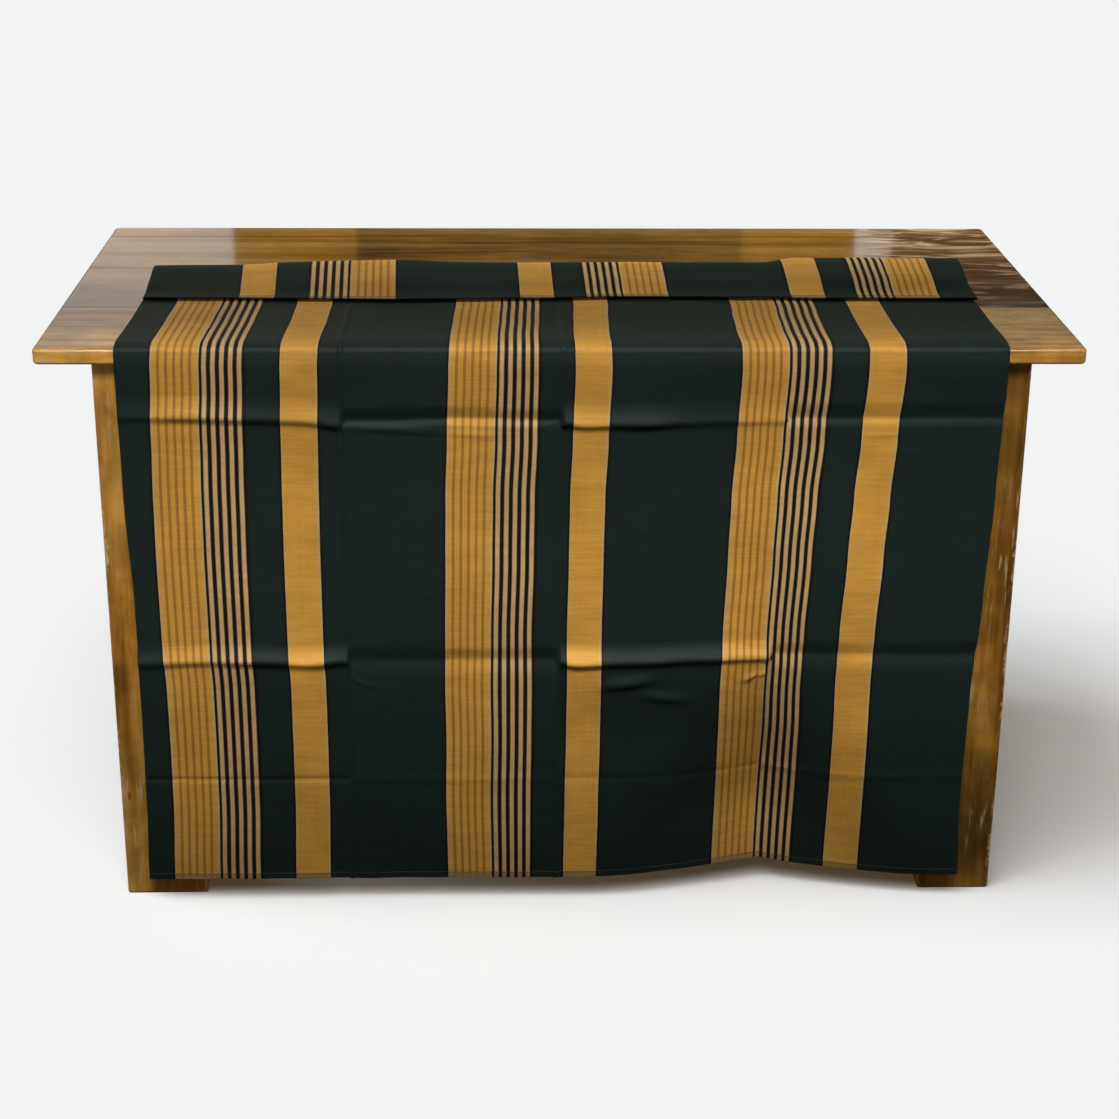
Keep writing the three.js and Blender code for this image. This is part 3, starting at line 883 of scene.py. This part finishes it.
def varnished_wood(name, grain, wear, along_axis, gloss, coat_roughness, mottling=0.0, relief=0.5,
                   painted_reflection_from=None, scratched=0.0, tint=(1.0, 1.0, 1.0)):
    """Amber wood under clear varnish. along_axis is the way its grain runs; past painted_reflection_from on X
    a dark reflection and, on the top, pale reflection streaks are painted into its colour and its varnish is
    dull, and scratched is how strong the fine pale scratches are in patches."""
    material, nodes, surface = new_material(name)
    place = nodes.add("ShaderNodeTexCoord").outputs["Object"]
    x, y, z = nodes.split(place)
    turned = nodes.vector(*{"X": (x, y, z), "Y": (y, x, z), "Z": (z, x, y)}[along_axis])
    piece, edge, tone, joint = (
        nodes.add("ShaderNodeAttribute", attribute_name=kind).outputs["Fac"]
        for kind in ("piece", "edge", "tone", "joint")
    )
    figure = use_group(nodes, grain, Place=turned, Piece=piece)
    colour = nodes.ramp(figure["Figure"], [(0.0, BROWN), (0.5, AMBER), (1.0, HONEY)])
    # tone is each piece's lightness by height; on the legs it is painted light and shade.
    clouds = nodes.times(nodes.span(figure["Clouds"], 0.3, 0.7, 0.78, 1.12), tone)
    mottle = nodes.span(figure["Mottle"], 0.0, 1.0, 1.0 - mottling, 1.0 + mottling)
    shading = nodes.times(clouds, mottle)
    colour = nodes.tinted(colour, [nodes.times(shading, share) for share in tint])
    colour = nodes.mix(nodes.times(figure["Pores"], 0.45), colour, tuple(0.4 * c for c in BROWN))
    colour = nodes.mix(nodes.times(figure["Specks"], 0.55), colour, GRIME_AND_DARK_REFLECTION)
    bare = use_group(nodes, wear, Place=place, Edge=edge)["Bare"]
    colour = nodes.mix(nodes.times(bare, 0.7), colour, BARE_WOOD)
    worn = nodes.times(figure["Scratches"], nodes.span(figure["Clouds"], 0.50, 0.58, 0.12, 1.0))
    colour = nodes.mix(nodes.times(worn, scratched), colour, SCRATCH_AND_REFLECTION_PALE)
    colour = nodes.mix(nodes.times(nodes.span(joint, 0.1, 0.9), 0.85), colour, GRIME_AND_DARK_REFLECTION)
    shine = nodes.math("SUBTRACT", gloss, nodes.times(bare, gloss), clamp=True)
    # Past painted_reflection_from on X a dark reflection is painted into the colour, with pale painted
    # reflection streaks on the top, and the varnish is duller.
    if painted_reflection_from is not None:
        wobble = nodes.times(figure["Clouds"], 0.12)
        painted_reflection_zone = nodes.span(nodes.plus(x, wobble), painted_reflection_from, painted_reflection_from + 0.08)
        colour = nodes.mix(nodes.times(painted_reflection_zone, 0.72), colour, GRIME_AND_DARK_REFLECTION)
        on_top = nodes.span(z, TABLE_TOP - 0.004, TABLE_TOP - 0.001)
        painted_reflection_streaks = nodes.times(nodes.times(painted_reflection_zone, on_top), figure["Streaks"])
        colour = nodes.mix(nodes.times(painted_reflection_streaks, 0.6), colour, SCRATCH_AND_REFLECTION_PALE)
        shine = nodes.math("SUBTRACT", shine, nodes.times(painted_reflection_zone, 0.6), clamp=True)
    nodes.put(colour, surface["Base Color"])
    nodes.put(nodes.span(figure["Figure"], 0.0, 1.0, 0.5, 0.36), surface["Roughness"])
    nodes.put(shine, surface["Coat Weight"])
    surface["Coat Roughness"].default_value = coat_roughness
    surface["Coat IOR"].default_value = 1.52
    surface["Specular IOR Level"].default_value = 0.04
    height = nodes.math("SUBTRACT", nodes.times(figure["Figure"], 0.4),
                        nodes.plus(figure["Pores"], nodes.plus(bare, joint)))
    add_bump(nodes, surface, height, 0.00025, relief)
    return material


# ---------------- the table's pieces

def near(value, target):
    return abs(value - target) < 1e-5


def bevel_edges(bm, edges, radius, segments):
    bmesh.ops.bevel(bm, geom=list(edges), offset=radius, offset_type="OFFSET", segments=segments, profile=0.5,
                    affect="EDGES", material=-1, clamp_overlap=True)


WEAR_REACH, JOINT_REACH = 0.012, 0.0025   # how far edge wear and the dark of a glued joint reach
BOARD_EDGE, BOARD_CORNER, CRISP_EDGE = 0.004, 0.008, 0.0005
LEG_EDGE, APRON_EDGE = 0.003, 0.0015
BOARD_TONES = [  # by shares of the height, from the foot
    [(0, 1.0), (0.85, 1.0), (1, 0.84)], [(0, 0.235)], [(0, 0.205)], [(0, 0.205)],
]
# The front legs' tones are painted light and shade: the right leg painted darker as if lit from the left,
# both painted darker low down in the cloth's shade, the feet painted lighter, and a painted highlight on the
# right leg from 0.29 to 0.45 of its height.
LEG_PAINTED_LIGHT_AND_SHADE = [
    [(0, 0.66), (0.03, 0.50), (0.2, 0.42), (0.4, 0.55), (0.55, 0.70), (0.7, 0.60), (1, 0.62)],
    [(0, 0.42), (0.04, 0.22), (0.08, 0.13), (0.17, 0.16), (0.27, 0.30), (0.29, 0.44), (0.45, 0.46),
     (0.55, 0.36), (1, 0.38)],
    [(0, 0.6)],
    [(0, 0.5)],
]
APRON_TONES = [[(0, 0.6)], [(0, 0.6)]]


def wooden_block(name, node, material, piece_number, tones_and_painted_shade, shape_edges, joints=(False, False)):
    """A block as large as its node, with eased edges, and its edges, number, tone and joints as attributes.

    The piece number shifts its grain; tones_and_painted_shade gives how light it is at shares of its height,
    from its foot, which on the legs is painted light and shade; joints says whether its front and its rear
    are glued to another board.
    """
    low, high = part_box(node)
    bm = bmesh.new()
    bmesh.ops.create_cube(bm, size=1.0)
    bmesh.ops.scale(bm, vec=high - low, verts=bm.verts)
    bmesh.ops.translate(bm, vec=(low + high) / 2, verts=bm.verts)
    shape_edges(bm, low, high)
    for axis in range(3):
        places = [low[axis] + WEAR_REACH, high[axis] - WEAR_REACH]
        if high[axis] - low[axis] < 3 * WEAR_REACH:
            places = []
        if axis == 1:
            inner = (low.y + JOINT_REACH, high.y - JOINT_REACH)
            places += [place for place, glued in zip(inner, joints) if glued]
        if axis == 2:
            places += [low.z + share * (high.z - low.z) for share, tone in tones_and_painted_shade[1:-1]]
        for place in places:
            spot, way = Vector((0, 0, 0)), Vector((0, 0, 0))
            spot[axis], way[axis] = place, 1.0
            geometry = [*bm.verts, *bm.edges, *bm.faces]
            bmesh.ops.bisect_plane(bm, geom=geometry, plane_co=spot, plane_no=way, dist=1e-6)
    bmesh.ops.remove_doubles(bm, verts=bm.verts, dist=1e-6)
    bmesh.ops.recalc_face_normals(bm, faces=bm.faces)
    mesh = mesh_from(bm, name)
    edge, number, shade, joint = (
        mesh.attributes.new(kind, "FLOAT", "POINT") for kind in ("edge", "piece", "tone", "joint")
    )
    for vertex in mesh.vertices:
        ends = [(vertex.co[axis] - low[axis], high[axis] - vertex.co[axis]) for axis in range(3)]
        glued_depth = min([1.0] + [depth for depth, glued in zip(ends[1], joints) if glued])
        free_depth = min([1.0] + [depth for depth, glued in zip(ends[1], joints) if not glued])
        from_edge = sorted([min(ends[0]), free_depth, min(ends[2])])[1]
        edge.data[vertex.index].value = max(0.0, 1.0 - from_edge / WEAR_REACH)
        joint.data[vertex.index].value = max(0.0, 1.0 - glued_depth / JOINT_REACH)
        number.data[vertex.index].value = piece_number
        share = (vertex.co.z - low.z) / (high.z - low.z)
        shade.data[vertex.index].value = np.interp(share, *zip(*tones_and_painted_shade))
    piece = finished_piece(name, mesh, material)
    weighted = piece.modifiers.new("flat faces stay flat", "WEIGHTED_NORMAL")
    weighted.keep_sharp = True
    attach(piece, "root")
    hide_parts(node)
    return piece


def ease_all(radius):
    def shape_edges(bm, low, high):
        bevel_edges(bm, bm.edges, radius, 3)
    return shape_edges


def ease_board(is_first, is_last):
    """The outer edges are rounded and the corners cut round; the edges at the joints stay crisp."""
    def shape_edges(bm, low, high):
        def at_joint(edge):
            front = all(near(vertex.co.y, low.y) for vertex in edge.verts) and not is_first
            rear = all(near(vertex.co.y, high.y) for vertex in edge.verts) and not is_last
            return front or rear

        def upright(edge):
            start, end = (vertex.co for vertex in edge.verts)
            return near(start.x, end.x) and near(start.y, end.y)

        bevel_edges(bm, [edge for edge in bm.edges if upright(edge) and not at_joint(edge)], BOARD_CORNER, 5)
        level = [edge for edge in bm.edges if not upright(edge) and len(edge.link_faces) == 2
                 and abs(edge.link_faces[0].normal.z - edge.link_faces[1].normal.z) > 0.5]
        bevel_edges(bm, [edge for edge in level if not at_joint(edge)], BOARD_EDGE, 4)
        crisp = [edge for edge in bm.edges if at_joint(edge) and not upright(edge)]
        bevel_edges(bm, crisp, CRISP_EDGE, 2)
    return shape_edges


def build_table(grain, wear):
    along = varnished_wood("varnished boards", grain, wear, "X", 1.0, 0.075, 0.08, 0.25, painted_reflection_from=0.49)
    front = varnished_wood("varnished front board", grain, wear, "X", 0.9, 0.16, 0.16, 0.15)
    upright = varnished_wood("varnished legs", grain, wear, "Z", 0.12, 0.3, 0.18, scratched=0.65,
                             tint=(1.0, 0.91, 0.66))
    across = varnished_wood("varnished side aprons", grain, wear, "Y", 0.4, 0.15)
    level = varnished_wood("varnished long aprons", grain, wear, "X", 0.4, 0.15)
    last = len(BOARDS) - 1
    for number, (node, tones_and_painted_shade) in enumerate(zip(BOARDS, BOARD_TONES)):
        joints = (number > 0, number < last)
        wooden_block(f"board_{number + 1}", node, front if number == 0 else along, 0.37 * number, tones_and_painted_shade,
                     ease_board(number == 0, number == last), joints)
    for group, group_tones_and_painted_shade, material, first, step, radius in (
        (LEGS, LEG_PAINTED_LIGHT_AND_SHADE, upright, 1.9, 0.53, LEG_EDGE),
        (LONG_APRONS, APRON_TONES, level, 5.1, 0.7, APRON_EDGE),
        (SIDE_APRONS, APRON_TONES, across, 7.7, 0.7, APRON_EDGE),
    ):
        for number, (node, tones_and_painted_shade) in enumerate(zip(group, group_tones_and_painted_shade)):
            wooden_block(f"{node}_wood", node, material, first + step * number, tones_and_painted_shade, ease_all(radius))


# ---------------- the sarong

def build_sarong(weave):
    cotton = striped_cotton("striped cotton", weave)
    turned = striped_cotton("turned striped cotton", weave, 0.7)
    stations = places_between(HEM, LENGTH - HEM, PITCH, STATION_MARKS)
    hem = np.array(HEM_STATIONS)
    body = tube_of_cloth("sarong_tube", stations, HALF_TUBE, LAYER, cotton)
    bottom = tube_of_cloth("sarong_bottom_hem", hem, HALF_HEM, HEM_LAYER, turned)
    top = tube_of_cloth("sarong_top_hem", LENGTH - HEM + hem, HALF_HEM, HEM_LAYER, turned)
    stitches = sew_sarong(sewing_thread())
    for piece, slot, node in (
        (body, "striped_cotton", "sarong_body"), (bottom, "turned_hem", "bottom_hem"),
        (top, "turned_hem", "top_hem"), (stitches, "turned_hem", None),
    ):
        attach(piece, "root")
        if node:
            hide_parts(node)


# ---------------- floor, lights and camera

CAMERA_PLACE = Vector((-0.078, TABLE_FRONT - 2.674, 1.531))
CAMERA_DOWN, CAMERA_RIGHT, CAMERA_ROLL = math.radians(21.302), math.radians(1.628), math.radians(0.44)
CAMERA_LENS = 72.55
KEY_WATTS, KEY_OUT, KEY_HIGH = 6.1, 0.5, 1.3
KEY_DOWN, KEY_SPREAD = math.radians(60), math.radians(36)
REAR_WATTS = 26.3
FRONT_WATTS = 8.0
SHEEN_WATTS = 3.3
FILL_WATTS = 26.0
SIDE_SUN, TOP_SUN = 1.97, 2.06
SEEN_WORLD, DIFFUSE_WORLD, MIRRORED_WORLD = 0.888, 0.045, 0.01
FLOOR_SIZE = 80.0
PANELS_BEHIND = 3.3   # how far behind the table's front the mirrored panels stand
SOFT_WHITE = (1.0, 0.97, 0.92)
SHEEN_YELLOW = (1.0, 0.93, 0.6)
FRONT_WARM = (1.0, 0.92, 0.78)
FILL_WARM = (1.0, 0.96, 0.9)
SIDE_SUN_COLOUR, TOP_SUN_COLOUR = (0.87, 0.945, 1.0), (1.0, 0.965, 0.93)
WINDOW_LIGHT = (1.0, 0.92, 0.84)
AMBER_WALL = (1.0, 0.46, 0.03)


def build_floor():
    bm = bmesh.new()
    bmesh.ops.create_grid(bm, x_segments=1, y_segments=1, size=FLOOR_SIZE / 2)
    mesh = mesh_from(bm, "pale floor")
    material, nodes, surface = new_material("pale floor")
    surface["Base Color"].default_value = (*FLOOR_WHITE, 1.0)
    surface["Roughness"].default_value = 1.0
    surface["Specular IOR Level"].default_value = 0.0
    surface["Emission Color"].default_value = (*FLOOR_GLOW, 1.0)
    surface["Emission Strength"].default_value = 0.04
    mesh.materials.append(material)
    floor = put_in_scene("pale floor", mesh)
    floor.visible_diffuse = False
    floor.visible_glossy = False
    return floor


def aimed_light(name, kind, place, target, strength, colour):
    data = bpy.data.lights.new(name, kind)
    data.energy = strength
    data.color = colour
    light = put_in_scene(name, data)
    light.location = place
    light.rotation_euler = (Vector(target) - Vector(place)).to_track_quat("-Z", "Y").to_euler()
    return light


def soft_box(name, place, target, size, strength, colour):
    light = aimed_light(name, "AREA", place, target, strength, colour)
    light.data.shape = "RECTANGLE"
    light.data.size, light.data.size_y = size
    return light


def lit_only(light, name, objects, state):
    """Limits a light to some objects (INCLUDE), or keeps it off them (EXCLUDE)."""
    chosen = bpy.data.collections.new(name)
    for thing in objects:
        chosen.objects.link(thing)
    for member in chosen.collection_objects:
        member.light_linking.link_state = state
    light.light_linking.receiver_collection = chosen


def objects_named(*starts):
    return [thing for thing in bpy.data.objects if thing.name.startswith(starts)]


def light_the_cloth(floor):
    """The key from above the front, a light above the rear, and a sheen that only the cloth shows."""
    above = Vector((-0.1, TABLE_FRONT - KEY_OUT, KEY_HIGH))
    downwards = Vector((0, math.cos(KEY_DOWN), -math.sin(KEY_DOWN)))
    key = soft_box("key above the front", above, above + downwards, (2.6, 0.4), KEY_WATTS, SOFT_WHITE)
    key.data.spread = KEY_SPREAD
    rear = Vector((-0.1, TABLE_FRONT + 0.82, 1.5))
    top = soft_box("light above the rear of the top", rear, rear - Vector((0, 0, 1)), (3.0, 0.3),
                   REAR_WATTS, SOFT_WHITE)
    top.data.spread = math.radians(100)
    top.visible_glossy = False
    for light in (key, top):
        lit_only(light, f"all but the floor, {light.name}", [floor], "EXCLUDE")
    band = (0, TABLE_FRONT + 0.15, TABLE_TOP)
    sheen = soft_box("low light on the cloth", (0, TABLE_FRONT + 2.4, 1.7), band,
                     (3.0, 0.5), SHEEN_WATTS, SHEEN_YELLOW)
    sheen.visible_diffuse = False
    lit_only(sheen, "sheen of the cloth", objects_named("sarong"), "INCLUDE")


def light_the_table(floor):
    """A low light on the front of the wood, and soft fills for its sides and back."""
    low = soft_box("front light on the wood", (-0.3, TABLE_FRONT - 2.2, 0.7), (0, TABLE_FRONT, 0.35),
                   (1.6, 0.6), FRONT_WATTS, FRONT_WARM)
    lit_only(low, "fronts of the wood", objects_named("board_1", "leg_front"), "INCLUDE")
    middle = Vector((0, TABLE_FRONT + 0.35, 0.42))
    for name, out, size, share in (
        ("fill from behind", (0, 2.65, 0.08), (2.4, 0.8), 1.0),
        ("fill from the left", (-2.6, 0, 0.08), (1.4, 0.8), 0.7),
        ("fill from the right", (2.6, 0, 0.08), (1.4, 0.8), 0.7),
    ):
        fill = soft_box(name, middle + Vector(out), middle, size, share * FILL_WATTS, FILL_WARM)
        fill.visible_glossy = False
        lit_only(fill, f"all but the floor, {name}", [floor], "EXCLUDE")


def light_the_floor(floor):
    """Two broad suns, which cast the table's soft shadows on the floor alone."""
    for side, way, strength, colour, width in (
        ("left", (-0.6, -0.12, 1.0), SIDE_SUN, SIDE_SUN_COLOUR, 35),
        ("front", (-0.15, -0.58, 1.0), TOP_SUN, TOP_SUN_COLOUR, 46),
    ):
        sun = aimed_light(f"floor light from the {side}", "SUN", way, (0, 0, 0), strength, colour)
        sun.data.angle = math.radians(width)
        lit_only(sun, f"floor from the {side}", [floor], "INCLUDE")


def stand_panels():
    """Upright glows behind the table that only its varnish mirrors: sides, foot, head and radiance."""
    for name, left, right, low, high, radiance, colour in (
        ("window on the left", -1.75, -0.79, 1.15, 2.1, 0.85, WINDOW_LIGHT),
        ("amber wall left", -0.79, -0.46, 1.25, 1.6, 0.34, AMBER_WALL),
        ("amber wall right", 0.58, 0.885, 1.25, 1.6, 0.30, AMBER_WALL),
        ("narrow window on the right", 0.885, 0.985, 1.2, 1.5, 1.0, WINDOW_LIGHT),
        ("window on the far right", 1.05, 1.7, 1.58, 2.1, 0.4, WINDOW_LIGHT),
    ):
        middle = Vector(((left + right) / 2, TABLE_FRONT + PANELS_BEHIND, (low + high) / 2))
        watts = radiance * math.pi * (right - left) * (high - low)
        panel = soft_box(name, middle, middle - Vector((0, 1, 0)), (right - left, high - low), watts, colour)
        panel.visible_diffuse = False


def set_world():
    """White where the camera sees it, and dim for what the pieces gather and mirror."""
    world = bpy.data.worlds.new("studio")
    world.use_nodes = True
    bpy.context.scene.world = world
    nodes = Nodes(world.node_tree)
    background = world.node_tree.nodes["Background"]
    rays = nodes.add("ShaderNodeLightPath")
    background.inputs["Color"].default_value = (1.0, 1.0, 1.0, 1.0)
    seen = nodes.times(rays.outputs["Is Camera Ray"], SEEN_WORLD - MIRRORED_WORLD)
    soft = nodes.times(rays.outputs["Is Diffuse Ray"], DIFFUSE_WORLD - MIRRORED_WORLD)
    nodes.put(nodes.plus(nodes.plus(seen, soft), MIRRORED_WORLD), background.inputs["Strength"])


def build_camera():
    data = bpy.data.cameras.new("camera")
    data.sensor_width = 36.0
    data.lens = CAMERA_LENS
    camera = put_in_scene("camera", data)
    turn = (Matrix.Rotation(-CAMERA_RIGHT, 3, "Z") @ Matrix.Rotation(math.pi / 2 - CAMERA_DOWN, 3, "X")
            @ Matrix.Rotation(CAMERA_ROLL, 3, "Z"))
    camera.location = CAMERA_PLACE
    camera.rotation_euler = turn.to_euler()
    bpy.context.scene.camera = camera


# ---------------- the whole scene

build_camera()
build_sarong(plain_weave_group())
build_table(wood_grain_group(), edge_wear_group())
floor = build_floor()
light_the_cloth(floor)
light_the_table(floor)
light_the_floor(floor)
stand_panels()
set_world()
bpy.context.scene.view_settings.view_transform = "Standard"
